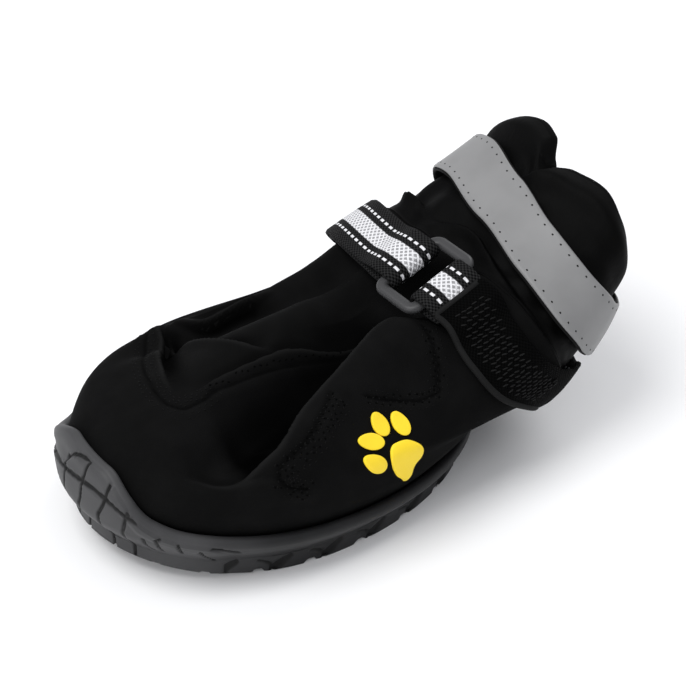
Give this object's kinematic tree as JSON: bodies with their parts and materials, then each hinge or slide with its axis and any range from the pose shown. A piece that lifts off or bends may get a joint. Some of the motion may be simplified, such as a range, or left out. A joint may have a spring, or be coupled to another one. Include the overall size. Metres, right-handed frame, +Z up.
{
  "type": "dog shoe",
  "caption": "Soft dog shoe with a lugged rubber sole and toe cap, a folded fabric upper, an ankle webbing strap through a flat ring and a loose reflective band below the collar.",
  "frame": {"origin": "centre of the sole's middle lug on the ground", "axes": "+X towards the toe, +Y towards the side with the paw motif, +Z up"},
  "size_m": [0.1427, 0.0732, 0.0638],
  "materials": {
    "softshell": "matte black softshell",
    "sole_rubber": "matte charcoal rubber",
    "insole_fabric": "matte",
    "webbing": "woven, with pale reflective stripes",
    "patch_fabric": "stitched hook-and-loop backing",
    "ring_plastic": "satin",
    "reflective": "retroreflective grey",
    "paw_yellow": "satin embroidery"
  },
  "bodies": {
    "root": {"upper": "softshell", "outsole": "sole_rubber", "insole": "insole_fabric", "long_webbing": "webbing", "short_webbing": "webbing", "anchor_patch": "patch_fabric", "ring": "ring_plastic", "reflective_band": "reflective", "paw_pad": "paw_yellow", "paw_toe_1": "paw_yellow", "paw_toe_2": "paw_yellow", "paw_toe_3": "paw_yellow", "paw_toe_4": "paw_yellow"}
  },
  "joints": []
}
